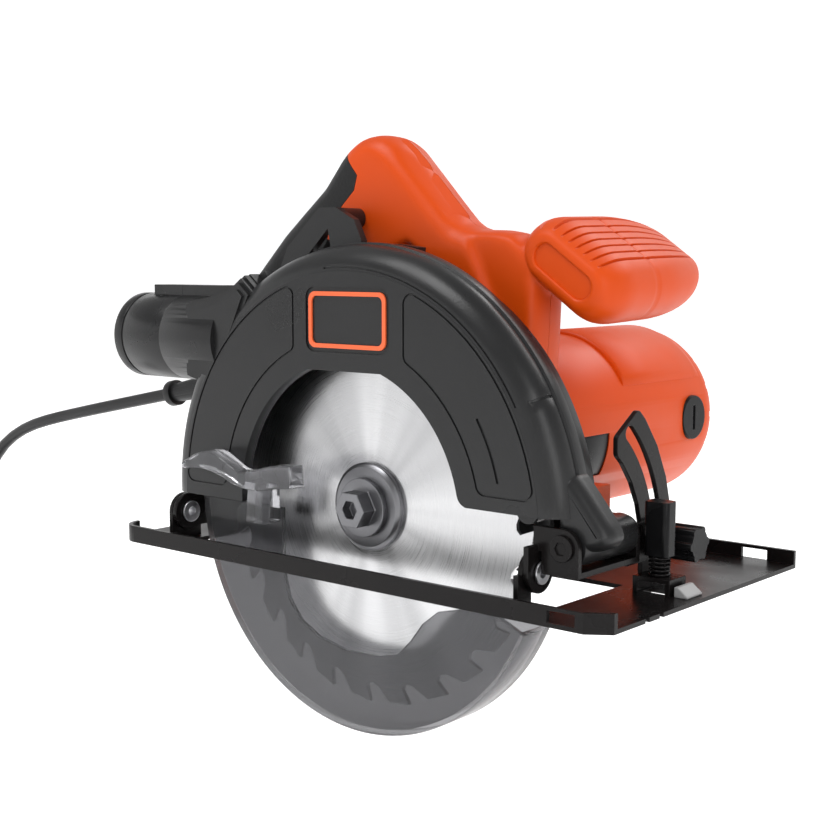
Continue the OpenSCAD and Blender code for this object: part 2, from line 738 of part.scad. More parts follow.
// ---- shoe ----

module shoe_outline() {
  x1 = shoe_x + shoe_l;
  y1 = shoe_y + shoe_w;
  difference() {
    polygon([[shoe_x + 12, shoe_y], [x1 - 10, shoe_y], [x1, shoe_y + 7], [x1, y1], [shoe_x, y1],
      [shoe_x, shoe_y + 12]]);
    translate([-112, -16]) square([226.5, 56]);
    translate([127, 36]) square([11, 8]);
    translate([x1 - 4, -5]) square([5, 3]);
    translate([x1 - 4, 6]) square([5, 3]);
  }
  translate([shoe_x + 12, shoe_y + 12]) intersection() { circle(12); translate([-12, -12]) square(12); }
}
module shoe() {
  top = sole_z + shoe_t;
  flange_top = sole_z + flange_h;
  x1 = shoe_x + shoe_l;
  y1 = shoe_y + shoe_w;
  color([0.1, 0.09, 0.09]) difference() {
    union() {
      translate([0, 0, sole_z]) linear_extrude(shoe_t) shoe_outline();
      block([shoe_x + 12, shoe_y, sole_z], [x1 - 10.5, shoe_y + shoe_t, flange_top]);
      translate([0, 0, sole_z]) linear_extrude(flange_h) polygon([[x1 - 10.8, shoe_y], [x1 - 10, shoe_y],
        [x1, shoe_y + 7], [x1, shoe_y + 9.4], [x1 - 10.8, shoe_y + 2]]);
      block([shoe_x, y1 - shoe_t, sole_z], [x1, y1, flange_top]);
      translate([shoe_x + 12, shoe_y + 12, sole_z]) linear_extrude(flange_h)
        intersection() { ring(12, 12 - shoe_t); translate([-12, -12]) square(12); }
      along_x(-120.9, -118.4) {
        about_bevel() circle(9.5);
        translate([bevel_y - 9.5, sole_z + 1]) square([19, bevel_z - sole_z - 1]);
      }
      along_x(102.5, 105) {
        about_bevel() circle(9);
        translate([bevel_y - 12, sole_z + 1]) square([9.5, bevel_z - sole_z - 1]);
      }
    }
    rod_x(3.52, -125, 110, bevel_y, bevel_z);
    block([fence_x - 6.75, shoe_y - 1, top], [fence_x + 6.75, shoe_y + 3, top + fence_h]);
    block([fence_x - 6.75, y1 - 3, top], [fence_x + 6.75, y1 + 1, top + fence_h]);
  }
}
module bevel_quadrant()
  color([0.1, 0.1, 0.1]) along_x(118.3, 120.7) difference() {
    union() {
      offset(r = 3, $fn = 32) offset(delta = -3) difference() {
        about_bevel() intersection() {
          ring(slot_r + 12.5, slot_r - 13);
          wedge(-9.3, bolt_at + bevel_travel + 20);
        }
        polygon([[23.8, 20], [23.8, 40.5], [37.8, 49.4], [54, 59.7], [54, 90], [0, 90], [0, 20]]);
      }
      translate([45.5, sole_z + shoe_t]) square([25, 8]);
    }
    about_bevel() arc_slot(slot_r, 3.4, bolt_at, bolt_at + bevel_travel);
  }
module pivot_rivets()
  color([0.55, 0.55, 0.56]) difference() {
    union() {
      rod_x(3.5, -122, -114.2, bevel_y, bevel_z);
      rod_x(5.5, -122.2, -120.95, bevel_y, bevel_z);
      rod_x(5.5, -115.2, -114, bevel_y, bevel_z);
      rod_x(3.5, 101.4, 109.2, bevel_y, bevel_z);
      rod_x(5.5, 101.2, 102.45, bevel_y, bevel_z);
      rod_x(5, 108.2, 109.3, bevel_y, bevel_z);
    }
    rod_x(2.2, -130, 120, bevel_y, bevel_z);
  }
module fence_clamp() {
  low = sole_z + shoe_t;
  high = low + fence_h + 2.2;
  color([0.12, 0.12, 0.12]) difference() {
    union() {
      block([fence_x - 9.25, fence_y - 7, high - 2], [fence_x + 9.25, fence_y + 7, high]);
      for (s = [-1, 1]) translate([fence_x + 8.1 * s - 1.15, fence_y - 7, low])
        cube([2.3, 14, high - low]);
    }
    translate([fence_x, fence_y, low]) cylinder(r = 2.5 + play, h = 10);
  }
}
module fence_knob()
  color([0.07, 0.07, 0.07]) translate([fence_x, fence_y, 0]) {
    translate([0, 0, -12]) linear_extrude(24) rounded([-6, -4.6], [6, 4.6], 2.5);
    translate([0, 0, sole_z + shoe_t + fence_h - 0.2]) cylinder(r = 2.5, h = 12);
  }
module fence_spring()
  color([0.6, 0.6, 0.6]) translate([fence_x, fence_y, 0]) for (i = [0 : 4])
    translate([0, 0, -20.1 + 1.8 * i]) rotate_extrude() translate([4.2, 0]) circle(0.6, $fn = 16);
module line_pointer()
  color([0.6, 0.6, 0.6]) along_y(34, 47)
    polygon([[143.6, -28], [150.2, -28], [150.2, -27], [145.5, -23.4], [143.6, -23.4]]);

// ---- cord ----

function unit(v) = v / norm(v);
function tangent(p, i) = unit(p[min(i + 1, len(p) - 1)] - p[max(i - 1, 0)]);
// A smooth curve through the route's points, with n rings to each stretch
function blend(a, b, c, d, t) = 0.5 * ((2 * b) + (c - a) * t + (2 * a - 5 * b + 4 * c - d) * t * t
  + (3 * b - a - 3 * c + d) * t * t * t);
function smooth(p, n) = concat([for (i = [0 : len(p) - 2], j = [0 : n - 1])
  blend(p[max(i - 1, 0)], p[i], p[i + 1], p[min(i + 2, len(p) - 1)], j / n)], [p[len(p) - 1]]);
module tube(path, r, sides = 8) {
  last = len(path) - 1;
  points = [for (i = [0 : last]) let (t = tangent(path, i), u = unit(cross(t, [0, 1, 0])), w = cross(t, u))
    for (k = [0 : sides - 1]) path[i] + r * (cos(360 * k / sides) * u + sin(360 * k / sides) * w)];
  walls = [for (i = [0 : last - 1], k = [0 : sides - 1]) let (m = (k + 1) % sides)
    [i * sides + k, i * sides + m, (i + 1) * sides + m, (i + 1) * sides + k]];
  polyhedron(points, concat([[for (k = [sides - 1 : -1 : 0]) k]], walls,
    [[for (k = [0 : sides - 1]) last * sides + k]]), convexity = 10);
}
cord_path = smooth(cord_route, 2);
module strain_relief() {
  color([0.1, 0.1, 0.1]) translate([-146, seam_y, 48]) rotate([0, -90 - 11, 0]) difference() {
    union() {
      translate([0, 0, -7]) cylinder(r = 5.4, h = 8);
      translate([0, 0, 1.5]) cylinder(r1 = 7.2, r2 = 5.2, h = 46);
      translate([0, 0, 44]) cylinder(r = 7.4, h = 5);
    }
    translate([0, 0, -8]) cylinder(r = cord_d / 2 + 0.1, h = 60);
  }
}
module cord() color([0.12, 0.12, 0.12]) tube(cord_path, cord_d / 2);
module cord_coil()
  color([0.12, 0.12, 0.12]) translate(coil_at) rotate_extrude()
    translate([coil_r - 1.5 * cord_d, 0]) square([3 * cord_d, 2 * cord_d]);
module cord_tie()
  color([0.3, 0.3, 0.3]) translate(coil_at) difference() {
    block([coil_r - 12, -4, -1], [coil_r + 12, 4, 2 * cord_d + 1.5]);
    block([coil_r - 11, -5, -0.2], [coil_r + 11, 5, 2 * cord_d + 0.5]);
  }
module plug() translate(coil_at + [plug_at[0], plug_at[1], 2 * cord_d]) {
  color([0.1, 0.1, 0.1]) {
    block([-24, -18, 0.1], [16, 18, 14]);
    rod_x(5, -38, -24, 0, 7.1);
  }
  color([0.8, 0.8, 0.8]) for (s = [-1, 1]) rod_x(2.4, 16, 35, 9.5 * s, 7);
}

module placed() translate(arbor) children();
placed() upper_guard();
placed() guard_back();
placed() guard_screws();
placed() dust_sleeve();
placed() badge_plate();
placed() lower_guard();
placed() retract_lever();
placed() guard_spring();
placed() blade();
placed() inner_flange();
placed() outer_flange();
placed() arbor_bolt();
placed() spindle();
placed() output_gear();
placed() front_spindle_bearing();
placed() rear_spindle_bearing();
placed() gear_case();
placed() gear_case_cover();
placed() spindle_lock();
placed() armature_shaft();
placed() armature_core();
placed() commutator();
placed() cooling_fan();
placed() armature_bearings();
placed() stator();
placed() motor_housing();
placed() side_vent_grille();
placed() carbon_brushes();
placed() brush_caps();
placed() handle_left();
placed() handle_right();
placed() grip_pad();
placed() handle_screws();
placed() trigger();
placed() trigger_pin();
placed() switch_body();
placed() lock_off_button();
placed() side_handle();
placed() depth_bracket();
placed() depth_bolt();
placed() depth_lever();
placed() front_bracket();
placed() front_pivot_pin();
placed() bevel_bolt();
placed() bevel_knob();
placed() shoe();
placed() bevel_quadrant();
placed() pivot_rivets();
placed() fence_clamp();
placed() fence_knob();
placed() fence_spring();
placed() line_pointer();
placed() strain_relief();
placed() cord();
placed() cord_coil();
placed() cord_tie();
placed() plug();
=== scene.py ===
import json
import math

import bmesh
import bpy
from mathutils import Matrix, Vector


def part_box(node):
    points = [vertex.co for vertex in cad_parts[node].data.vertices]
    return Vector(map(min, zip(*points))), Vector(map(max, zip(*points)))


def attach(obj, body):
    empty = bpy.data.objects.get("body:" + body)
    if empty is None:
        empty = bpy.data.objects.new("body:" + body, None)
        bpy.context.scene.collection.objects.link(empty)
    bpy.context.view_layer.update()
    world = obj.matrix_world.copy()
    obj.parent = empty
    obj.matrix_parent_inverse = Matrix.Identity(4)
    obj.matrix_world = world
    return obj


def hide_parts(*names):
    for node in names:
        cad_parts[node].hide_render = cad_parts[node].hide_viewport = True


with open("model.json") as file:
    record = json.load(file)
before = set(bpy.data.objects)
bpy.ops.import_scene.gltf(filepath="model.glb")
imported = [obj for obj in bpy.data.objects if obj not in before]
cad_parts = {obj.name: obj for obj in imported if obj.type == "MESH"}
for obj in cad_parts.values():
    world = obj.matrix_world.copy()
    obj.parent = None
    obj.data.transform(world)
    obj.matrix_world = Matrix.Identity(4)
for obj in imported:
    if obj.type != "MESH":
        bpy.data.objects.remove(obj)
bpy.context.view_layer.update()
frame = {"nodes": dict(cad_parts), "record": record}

MM = 0.001


# ---- places ----

def middle(node):
    low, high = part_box(node)
    return (low + high) / 2


HUB = middle("blade")


def at(x, y, z):
    """A point given in millimetres from the blade's centre, in the row frame."""
    return HUB + Vector((x, y, z)) * MM


FLOOR_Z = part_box("cord_coil")[0].z - 1 * MM


# ---- camera ----

# Millimetres: the lens and sensor, then where the camera stands and where it looks
LENS = 60.36
SENSOR_WIDTH = 36
CAMERA_AT = (441.9, -484.4, 115.7)
CAMERA_AIM = (28.2, 0, 44.2)


def make_camera():
    data = bpy.data.cameras.new("camera")
    data.lens = LENS
    data.sensor_width = SENSOR_WIDTH
    camera = bpy.data.objects.new("camera", data)
    bpy.context.scene.collection.objects.link(camera)
    camera.location = at(*CAMERA_AT)
    toward = at(*CAMERA_AIM) - camera.location
    camera.rotation_euler = toward.to_track_quat("-Z", "Y").to_euler()
    bpy.context.scene.camera = camera


make_camera()


# ---- mesh tools ----

# Points nearer than this, in metres, are one point
SAME_POINT = 1e-6


def add_object(name, data):
    piece = bpy.data.objects.new(name, data)
    bpy.context.scene.collection.objects.link(piece)
    return piece


def mesh_piece(name, points, faces, smooth_to=35):
    """A mesh from points in the row frame.

    It is shaded smooth where its faces meet at less than smooth_to degrees.
    """
    mesh = bpy.data.meshes.new(name)
    mesh.from_pydata([tuple(p) for p in points], [], faces)
    tidy = bmesh.new()
    tidy.from_mesh(mesh)
    bmesh.ops.remove_doubles(tidy, verts=tidy.verts, dist=SAME_POINT)
    bmesh.ops.recalc_face_normals(tidy, faces=tidy.faces)
    tidy.to_mesh(mesh)
    tidy.free()
    mesh.shade_smooth()
    mesh.set_sharp_from_angle(angle=math.radians(smooth_to))
    return add_object(name, mesh)


def loft(rings, closed_ends=True):
    """Points and faces of a skin over closed rings, each with the same number of points."""
    count = len(rings[0])
    points = [p for ring in rings for p in ring]
    faces = []
    for i in range(len(rings) - 1):
        for j in range(count):
            a, b = i * count + j, i * count + (j + 1) % count
            faces.append((a, b, b + count, a + count))
    if closed_ends:
        faces.append(tuple(range(count - 1, -1, -1)))
        faces.append(tuple(range(len(points) - count, len(points))))
    return points, faces


def smooth_path(points, steps):
    """Catmull-Rom curve through the points, with a number of steps between each pair."""
    path = []
    ends = [points[0] * 2 - points[1], *points, points[-1] * 2 - points[-2]]
    for i in range(1, len(ends) - 2):
        p0, p1, p2, p3 = ends[i - 1: i + 3]
        for k in range(steps):
            t = k / steps
            path.append(0.5 * (2 * p1 + (p2 - p0) * t
                               + (2 * p0 - 5 * p1 + 4 * p2 - p3) * t ** 2
                               + (3 * p1 - p0 - 3 * p2 + p3) * t ** 3))
    path.append(points[-1])
    return path


# ---- cord ----

CORD_D = 7
# From the strain relief, down to where it joins the coil
CORD_ROUTE = [(-146, 40.5, 48), (-170, 40.5, 43.4), (-200, 40.5, 37.6), (-230, 40.5, 31.8),
              (-260, 40.5, 26), (-290, 40.5, 20), (-320, 40.5, 13.5), (-345, 40.5, 6),
              (-368, 40.5, -6), (-386, 40.5, -24), (-397, 40.5, -48), (-402, 40.5, -75),
              (-404, 40.5, -105), (-407, 41, -132), (-415, 48, -157), (-430, 56, -174.5),
              (-449, 57, -180.5)]
COIL_AT = (-443, 8, -184)
COIL_R = 42
# How far apart the turns lie, and how high the lower and upper turns lie, in cord diameters
COIL_PITCH = 1.005
COIL_LOW, COIL_HIGH = 0.5, 1.505
# Where the coil starts and ends about its middle, in degrees, and its points in each turn
COIL_START, COIL_END = 97.6, 172.0
COIL_STEPS = 40
# Where the last turn leaves the coil and climbs to the plug on top of it
CORD_TAIL = [(-491.6, 5, -172.2), (-487, -9, -167.2), (-477.5, -18.5, -164), (-466, -22.6, -163),
             (-454, -23, -162.9)]


def ease(t):
    t = max(0.0, min(1.0, t))
    return t * t * (3 - 2 * t)


def coil_turns():
    """The coil's turns, a diameter apart: inward on the floor, up, then outward on top."""
    pitch = CORD_D * COIL_PITCH
    rows = [COIL_R + pitch, COIL_R, COIL_R - pitch, COIL_R - pitch, COIL_R, COIL_R + pitch]
    heights = [COIL_LOW * CORD_D] * 3 + [COIL_HIGH * CORD_D] * 3
    # The share of a turn in which each turn moves over to the next one's place
    moves = [(0.8, 1.0), (0.8, 1.0), (0.8, 1.0), (0.56, 0.78), (0.56, 0.78)]
    points = []
    for k in range(1, int(COIL_STEPS * (5 + (COIL_END - COIL_START) / 360)) + 1):
        turn, share = k // COIL_STEPS, (k % COIL_STEPS) / COIL_STEPS
        r, z = rows[turn], heights[turn]
        if turn < len(moves):
            moved = ease((share - moves[turn][0]) / (moves[turn][1] - moves[turn][0]))
            r += (rows[turn + 1] - r) * moved
            z += (heights[turn + 1] - z) * moved
        angle = math.radians(COIL_START + 360 * k / COIL_STEPS)
        points.append(at(COIL_AT[0] + r * math.cos(angle), COIL_AT[1] + r * math.sin(angle),
                         COIL_AT[2] + z))
    return points


def make_cord():
    loose = smooth_path([at(*p) for p in CORD_ROUTE], 2)
    tail = smooth_path([at(*p) for p in CORD_TAIL], 2)
    path = loose + coil_turns() + tail
    curve = bpy.data.curves.new("power_cord", "CURVE")
    curve.dimensions = "3D"
    curve.bevel_depth = CORD_D / 2 * MM
    curve.bevel_resolution = 5
    curve.resolution_u = 1
    spline = curve.splines.new("POLY")
    spline.points.add(len(path) - 1)
    for point, place in zip(spline.points, path):
        point.co = (*place, 1)
    spline.use_smooth = True
    cord = add_object("power_cord", curve)
    length = sum((b - a).length for a, b in zip(path, path[1:]))
    return cord, path[0], length


power_cord, cord_exit, cord_length = make_cord()


# ---- materials ----

def add_node(tree, kind, props=None, **inputs):
    """A shader node.

    Its inputs are given by name, with _ for a space, or as n and the input's number. A value may
    be a socket to link from.
    """
    made = tree.nodes.new(kind)
    for key, value in (props or {}).items():
        setattr(made, key, value)
    for key, value in inputs.items():
        socket = made.inputs[int(key[1:])] if key[0] == "n" and key[1:].isdigit() else \
            made.inputs[key.replace("_", " ")]
        if isinstance(value, bpy.types.NodeSocket):
            tree.links.new(value, socket)
        else:
            socket.default_value = value
    return made


def new_material(name):
    material = bpy.data.materials.new(name)
    material.use_nodes = True
    tree = material.node_tree
    shader = tree.nodes["Principled BSDF"]
    return material, tree, shader


def coordinates(tree):
    return tree.nodes.new("ShaderNodeTexCoord").outputs["Object"]


def noise(tree, place, scale, detail=3.0, rough=0.5):
    return add_node(tree, "ShaderNodeTexNoise", Vector=place, Scale=scale, Detail=detail,
                    Roughness=rough).outputs["Fac"]


def remap(tree, value, low, high, out_low, out_high):
    return add_node(tree, "ShaderNodeMapRange", Value=value, From_Min=low, From_Max=high,
                    To_Min=out_low, To_Max=out_high).outputs["Result"]


def mix(tree, share, first, second):
    made = add_node(tree, "ShaderNodeMix", {"data_type": "RGBA"}, n0=share, n6=first, n7=second)
    return made.outputs[2]


# How squarely the rounded and the plain normal agree: where wear starts, and where it is full
WEAR_STARTS, WEAR_FULL = 0.985, 0.8


def edge_mask(tree, radius):
    """1 along edges, 0 on open surfaces."""
    bevel = add_node(tree, "ShaderNodeBevel", {"samples": 4}, Radius=radius)
    plain = tree.nodes.new("ShaderNodeNewGeometry").outputs["Normal"]
    dot = add_node(tree, "ShaderNodeVectorMath", {"operation": "DOT_PRODUCT"}, n0=bevel.outputs[0],
                   n1=plain).outputs["Value"]
    return remap(tree, dot, WEAR_STARTS, WEAR_FULL, 0.0, 1.0)


def shade(colour, by):
    return tuple(min(1.0, c * by) for c in colour[:3]) + (1.0,)


# How far roughness strays either way on a moulded surface
SPREAD = 0.08


def moulded(name, colour, roughness, grain=1500, bump=0.2, depth=0.06, mottle=0.1, wear=0.25,
            wear_colour=None, metallic=0.0, **fixed):
    """Plastic, rubber, paint or cast metal, with fine grain and lighter worn edges.

    depth is the grain's, in millimetres. What else is given is set on the shader's own sockets.
    """
    material, tree, shader = new_material(name)
    place = coordinates(tree)
    broad = noise(tree, place, 22, 5.0)
    fine = noise(tree, place, grain, 2.0)
    body = mix(tree, broad, shade(colour, 1 - mottle), shade(colour, 1 + mottle))
    edges = add_node(tree, "ShaderNodeMath", {"operation": "MULTIPLY"},
                     n0=edge_mask(tree, 0.6 * MM),
                     n1=remap(tree, noise(tree, place, 160, 4.0), 0.4, 0.65, 0.0, wear)).outputs[0]
    shown = mix(tree, edges, body, wear_colour or shade(colour, 1.9))
    tree.links.new(shown, shader.inputs["Base Color"])
    tree.links.new(remap(tree, broad, 0.3, 0.7, roughness - SPREAD, roughness + SPREAD),
                   shader.inputs["Roughness"])
    bumps = add_node(tree, "ShaderNodeBump", Strength=bump, Distance=depth * MM, Height=fine)
    tree.links.new(bumps.outputs[0], shader.inputs["Normal"])
    shader.inputs["Metallic"].default_value = metallic
    for key, value in fixed.items():
        shader.inputs[key.replace("_", " ")].default_value = value
    return material


def brushed(name, colour, roughness, stretch):
    """Bare metal with fine lines along one axis, which stretch gives by the scale on each axis."""
    material, tree, shader = new_material(name)
    place = coordinates(tree)
    lines = add_node(tree, "ShaderNodeMapping", Vector=place, Scale=stretch).outputs[0]
    streaks = noise(tree, lines, 1.0, 6.0, 0.6)
    broad = noise(tree, place, 35, 4.0)
    body = mix(tree, broad, shade(colour, 0.85), shade(colour, 1.1))
    edges = edge_mask(tree, 0.5 * MM)
    tree.links.new(mix(tree, edges, body, shade(colour, 1.35)), shader.inputs["Base Color"])
    tree.links.new(remap(tree, streaks, 0.25, 0.75, roughness - 0.1, roughness + 0.12),
                   shader.inputs["Roughness"])
    bumps = add_node(tree, "ShaderNodeBump", Strength=0.25, Distance=0.03 * MM, Height=streaks)
    tree.links.new(bumps.outputs[0], shader.inputs["Normal"])
    shader.inputs["Metallic"].default_value = 1.0
    return material


def about_hub(tree):
    """Distance from the arbor's axis and the angle about it."""
    place = coordinates(tree)
    moved = add_node(tree, "ShaderNodeVectorMath", {"operation": "SUBTRACT"}, n0=place,
                     n1=tuple(HUB))
    parts = add_node(tree, "ShaderNodeSeparateXYZ", Vector=moved.outputs[0])
    flat = add_node(tree, "ShaderNodeCombineXYZ", X=parts.outputs["X"], Z=parts.outputs["Z"])
    radius = add_node(tree, "ShaderNodeVectorMath", {"operation": "LENGTH"}, n0=flat.outputs[0])
    angle = add_node(tree, "ShaderNodeMath", {"operation": "ARCTAN2"}, n0=parts.outputs["Z"],
                     n1=parts.outputs["X"])
    return radius.outputs["Value"], angle.outputs[0]


# How close the blade's rings lie, and how much they change round it; then the fans' number
RING_SCALE = 5200.0
RING_CHANGE = 1.2
FAN_SCALE = 1.7


def blade_steel():
    """Ground steel with fine rings about the arbor, and the sheen that fans out from it."""
    material, tree, shader = new_material("blade_steel")
    radius, angle = about_hub(tree)
    rings = add_node(tree, "ShaderNodeCombineXYZ",
                     X=add_node(tree, "ShaderNodeMath", {"operation": "MULTIPLY"}, n0=radius,
                                n1=RING_SCALE).outputs[0],
                     Y=add_node(tree, "ShaderNodeMath", {"operation": "MULTIPLY"}, n0=angle,
                                n1=RING_CHANGE).outputs[0]).outputs[0]
    streaks = noise(tree, rings, 1.0, 5.0, 0.65)
    body = mix(tree, remap(tree, streaks, 0.3, 0.7, 0.0, 1.0), (0.6, 0.6, 0.61, 1),
               (0.85, 0.85, 0.86, 1))
    toward = [add_node(tree, "ShaderNodeMath", {"operation": kind}, n0=angle).outputs[0]
              for kind in ("COSINE", "SINE")]
    round_it = add_node(tree, "ShaderNodeCombineXYZ", X=toward[0], Y=toward[1]).outputs[0]
    fans = noise(tree, round_it, FAN_SCALE, 2.0)
    sheen = remap(tree, fans, 0.36, 0.64, 0.0, 1.0)
    tree.links.new(mix(tree, sheen, (0.46, 0.46, 0.47, 1), body), shader.inputs["Base Color"])
    tree.links.new(remap(tree, streaks, 0.25, 0.75, 0.2, 0.42), shader.inputs["Roughness"])
    bumps = add_node(tree, "ShaderNodeBump", Strength=0.12, Distance=0.02 * MM, Height=streaks)
    tree.links.new(bumps.outputs[0], shader.inputs["Normal"])
    tangent = add_node(tree, "ShaderNodeTangent", {"direction_type": "RADIAL", "axis": "Y"})
    tree.links.new(tangent.outputs[0], shader.inputs["Tangent"])
    shader.inputs["Metallic"].default_value = 1.0
    shader.inputs["Anisotropic"].default_value = 0.75
    return material


# How much rougher the clear plastic is in a scuff
SCUFF = 0.075


def clear_plastic(name, colour, roughness):
    """Tinted see-through plastic with light scuffs."""
    material, tree, shader = new_material(name)
    place = coordinates(tree)
    broad = noise(tree, place, 30, 5.0)
    scuffs = noise(tree, add_node(tree, "ShaderNodeMapping", Vector=place,
                                  Scale=(900, 900, 60)).outputs[0], 1.0, 4.0)
    tree.links.new(mix(tree, broad, shade(colour, 0.93), shade(colour, 1.05)),
                   shader.inputs["Base Color"])
    tree.links.new(remap(tree, scuffs, 0.35, 0.8, roughness, roughness + SCUFF),
                   shader.inputs["Roughness"])
    bumps = add_node(tree, "ShaderNodeBump", Strength=0.05, Distance=0.02 * MM, Height=scuffs)
    tree.links.new(bumps.outputs[0], shader.inputs["Normal"])
    shader.inputs["Transmission Weight"].default_value = 0.9
    shader.inputs["IOR"].default_value = 1.25
    return material


ORANGE = (0.6, 0.06, 0.0015)
MATERIALS = {
    "guard_black": moulded("guard_black", (0.013, 0.013, 0.0135), 0.33, grain=900, bump=0.3,
                           depth=0.12, wear=0.1, Specular_IOR_Level=0.33),
    "zinc": brushed("zinc", (0.62, 0.62, 0.64), 0.35, (300, 300, 40)),
    "badge_orange": moulded("badge_orange", (0.8, 0.12, 0.03), 0.4, grain=2200),
    "smoke": clear_plastic("smoke", (0.3, 0.3, 0.31), 0.13),
    "smoke_clear": clear_plastic("smoke_clear", (0.5, 0.5, 0.52), 0.05),
    "spring_steel": brushed("spring_steel", (0.5, 0.5, 0.52), 0.3, (200, 200, 200)),
    "blade_steel": blade_steel(),
    "flange_steel": brushed("flange_steel", (0.2, 0.2, 0.21), 0.33, (40, 900, 40)),
    "shaft_steel": brushed("shaft_steel", (0.6, 0.6, 0.62), 0.25, (60, 1200, 60)),
    "gear_steel": brushed("gear_steel", (0.38, 0.38, 0.39), 0.38, (100, 900, 100)),
    "bearing_steel": brushed("bearing_steel", (0.66, 0.66, 0.68), 0.2, (60, 900, 60)),
    "cast_alloy": moulded("cast_alloy", (0.45, 0.46, 0.47), 0.5, grain=600, bump=0.5, depth=0.15,
                          metallic=0.9),
    "black_plastic": moulded("black_plastic", (0.006, 0.006, 0.0065), 0.32, grain=1300, bump=0.25,
                             wear=0.1, Specular_IOR_Level=0.13),
    "lamination": brushed("lamination", (0.25, 0.24, 0.24), 0.45, (10, 2000, 10)),
    "copper": brushed("copper", (0.75, 0.33, 0.2), 0.3, (100, 900, 100)),
    "orange_plastic": moulded("orange_plastic", ORANGE, 0.43, grain=1500, bump=0.16, mottle=0.04,
                              wear_colour=(0.85, 0.2, 0.05, 1), Specular_IOR_Level=0.22),
    "carbon": moulded("carbon", (0.02, 0.02, 0.02), 0.6, grain=900),
    "grip_rubber": moulded("grip_rubber", (0.01, 0.01, 0.0105), 0.5, grain=700, bump=0.5,
                           depth=0.25, wear=0.1, Specular_IOR_Level=0.25),
    "black_steel": moulded("black_steel", (0.007, 0.006, 0.006), 0.28, grain=500, bump=0.18,
                           depth=0.08, wear=0.2, wear_colour=(0.1, 0.1, 0.1, 1),
                           Specular_IOR_Level=0.15),
    "grey_plastic": moulded("grey_plastic", (0.3, 0.3, 0.3), 0.45),
    "cord_rubber": moulded("cord_rubber", (0.01, 0.01, 0.0105), 0.42, grain=900, bump=0.3, wear=0.0,
                           Specular_IOR_Level=0.3),
}


# ---- CAD nodes ----

# Millimetres and degrees: corners nearer than the first join, faces flatter than the second
# join, and edges sharper than the third are rounded
JOIN_CORNERS = 0.002
JOIN_FACES = 0.5
ROUND_EDGES = 32


def soften(piece, width):
    """Joins the split corners of a CAD node and rounds its edges by a width in millimetres."""
    weld = piece.modifiers.new("weld", "WELD")
    weld.merge_threshold = JOIN_CORNERS * MM
    plain = piece.modifiers.new("flat_faces", "DECIMATE")
    plain.decimate_type = "DISSOLVE"
    plain.angle_limit = math.radians(JOIN_FACES)
    bevel = piece.modifiers.new("bevel", "BEVEL")
    bevel.width = width * MM
    bevel.segments = 2
    bevel.limit_method = "ANGLE"
    bevel.angle_limit = math.radians(ROUND_EDGES)
    bevel.harden_normals = False


def slot_of(node):
    rows = frame["record"]["subparts"]
    return next(row["material_slot"] for row in rows if row["node"] == node)


# How far each node's edges are rounded, in millimetres, where it isn't the usual amount
EDGE = {"upper_guard": 0.5, "guard_back": 0.4, "shoe": 0.45, "front_bracket": 0.4, "blade": 0.08,
        "bevel_quadrant": 0.35, "fence_knob": 0.9, "bevel_knob": 0.6, "brush_caps": 0.5,
        "badge_plate": 0.12, "guard_spring": 0, "fence_spring": 0, "cord": 0, "output_gear": 0,
        "armature_core": 0, "commutator": 0, "cooling_fan": 0.15, "stator": 0.3,
        "line_pointer": 0.5, "outer_flange": 0.35, "arbor_bolt": 0.35, "lower_guard": 0.4}
USUAL_EDGE = 0.25

# Shown in black steel, whatever their slot says
DARK_STEEL = ("fence_spring", "bevel_bolt", "front_pivot_pin")

for name, node in frame["nodes"].items():
    node.data.materials.clear()
    node.data.materials.append(MATERIALS["black_steel" if name in DARK_STEEL else slot_of(name)])
    if EDGE.get(name, USUAL_EDGE):
        soften(node, EDGE.get(name, USUAL_EDGE))


# ---- cord pieces ----

power_cord.data.materials.append(MATERIALS["cord_rubber"])
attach(power_cord, "saw_body")
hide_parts("cord", "cord_coil")


# ---- solids from outlines ----

def flat_ring(outline, y):
    """An outline of (x, z) points from the arbor, set at y from the blade, in millimetres."""
    return [at(x, y, z) for x, z in outline]


def inset(outline, distance):
    """The outline moved inward by a distance, or outward by a negative one."""
    moved = []
    count = len(outline)
    area = sum(outline[i - 1][0] * outline[i][1] - outline[i][0] * outline[i - 1][1]
               for i in range(count))
    sign = 1 if area > 0 else -1
    for i in range(count):
        before, here, after = (Vector(outline[(i + k) % count]) for k in (-1, 0, 1))
        first, second = (here - before).normalized(), (after - here).normalized()
        normal = Vector((-first.y - second.y, first.x + second.x)) * sign
        normal.normalize()
        lean = max(0.5, Vector((-first.y, first.x)).dot(normal) * sign)
        moved.append(tuple(here + normal * distance / lean))
    return moved


def solid(name, rings, smooth_to=35):
    return mesh_piece(name, *loft(rings), smooth_to)


def layered(name, outline, layers):
    """A solid with a rounded rim: layers are (y, how far the outline is moved inward)."""
    return solid(name, [flat_ring(inset(outline, d), y) for y, d in layers])


def shaped(piece):
    """The piece's mesh with its modifiers applied."""
    bpy.context.view_layer.update()
    depsgraph = bpy.context.evaluated_depsgraph_get()
    mesh = bpy.data.meshes.new_from_object(piece.evaluated_get(depsgraph))
    piece.modifiers.clear()
    piece.data = mesh
    return piece


def discard(*pieces):
    for piece in pieces:
        bpy.data.objects.remove(piece)


def combine(piece, other, operation):
    """Adds, cuts or intersects the piece with another closed piece, which is used up."""
    cut = piece.modifiers.new("combine", "BOOLEAN")
    cut.operation = operation
    cut.solver = "EXACT"
    cut.object = other
    shaped(piece)
    discard(other)
    return piece


def copy_of(piece, name):
    return add_object(name, piece.data.copy())


